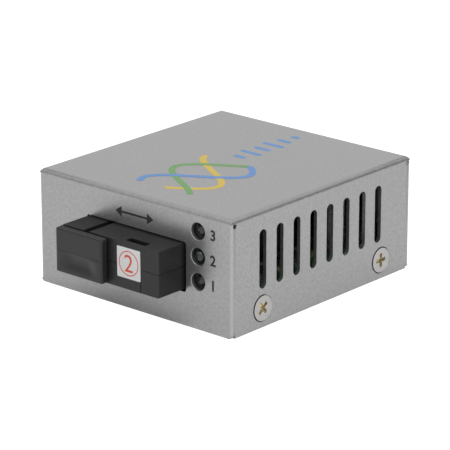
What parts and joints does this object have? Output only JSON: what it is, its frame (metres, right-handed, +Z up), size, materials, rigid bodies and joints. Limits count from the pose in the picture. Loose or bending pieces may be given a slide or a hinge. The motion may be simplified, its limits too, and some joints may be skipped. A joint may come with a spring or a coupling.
{
  "type": "fibre media converter",
  "caption": "Compact folded-steel media converter with a single-fibre transceiver and dust plug in front, status lamps, side vents, and network and power jacks behind.",
  "frame": {"origin": "middle of the base tray's underside, the face it rests on", "axes": "+Z up, -Y out of the front with the fibre port, +X towards the side nearer the lamps"},
  "size_m": [0.051, 0.0644, 0.024],
  "materials": {
    "case_paint": "fine-textured light grey powder coat",
    "tray_paint": "fine-textured light grey powder coat",
    "screw_paint": "grey paint with yellow plating in the cross",
    "plated_steel": "bright nickel plating",
    "housing_plastic": "fine-textured black moulding",
    "plug_plastic": "soft black moulding",
    "clip_plastic": "plain moulding",
    "jack_plastic": "glossy black moulding",
    "board_mask": "green solder mask",
    "chip_epoxy": "dark epoxy",
    "lead_tin": "tinned",
    "contact_gold": "gold plated",
    "barrel_steel": "turned",
    "sleeve_ceramic": "ground white zirconia",
    "lamp_epoxy": "green tinted clear epoxy",
    "can_foil": "drawn can",
    "ferrite": "ferrite",
    "resistor_glass": "black film",
    "capacitor_ceramic": "tan ceramic",
    "sticker_paper": "white printed label"
  },
  "bodies": {
    "converter": {"cover": "case_paint", "base_tray": "tray_paint", "case_screws": "screw_paint", "circuit_board": "board_mask", "board_standoffs": "plated_steel", "board_screws": "plated_steel", "transceiver_upper": "housing_plastic", "transceiver_lower": "housing_plastic", "port_clip": "clip_plastic", "optical_barrel": "barrel_steel", "ceramic_sleeve": "sleeve_ceramic", "laser_can": "barrel_steel", "detector_can": "barrel_steel", "transceiver_board": "board_mask", "driver_chip": "chip_epoxy", "transceiver_pins": "lead_tin", "port_sticker": "sticker_paper", "lamp_holder": "housing_plastic", "status_lamp_1": "lamp_epoxy", "status_lamp_2": "lamp_epoxy", "status_lamp_3": "lamp_epoxy", "lamp_leads": "lead_tin", "network_jack_shield": "plated_steel", "network_jack_body": "jack_plastic", "network_jack_contacts": "contact_gold", "power_jack_body": "jack_plastic", "power_jack_pin": "plated_steel", "power_jack_leaf": "plated_steel", "converter_chip": "chip_epoxy", "converter_chip_leads": "lead_tin", "memory_chip": "chip_epoxy", "memory_chip_leads": "lead_tin", "line_transformer": "chip_epoxy", "line_transformer_leads": "lead_tin", "voltage_regulator": "chip_epoxy", "voltage_regulator_leads": "lead_tin", "crystal": "can_foil", "power_inductor": "ferrite", "supply_capacitors": "can_foil", "chip_resistors": "resistor_glass", "chip_capacitors": "capacitor_ceramic"},
    "plug": {"dust_plug": "plug_plastic"}
  },
  "joints": [
    {"name": "plug_slide", "type": "slide", "parent": "converter", "child": "plug", "axis": [0, -1, 0], "range_m": [0, 0.009]}
  ]
}
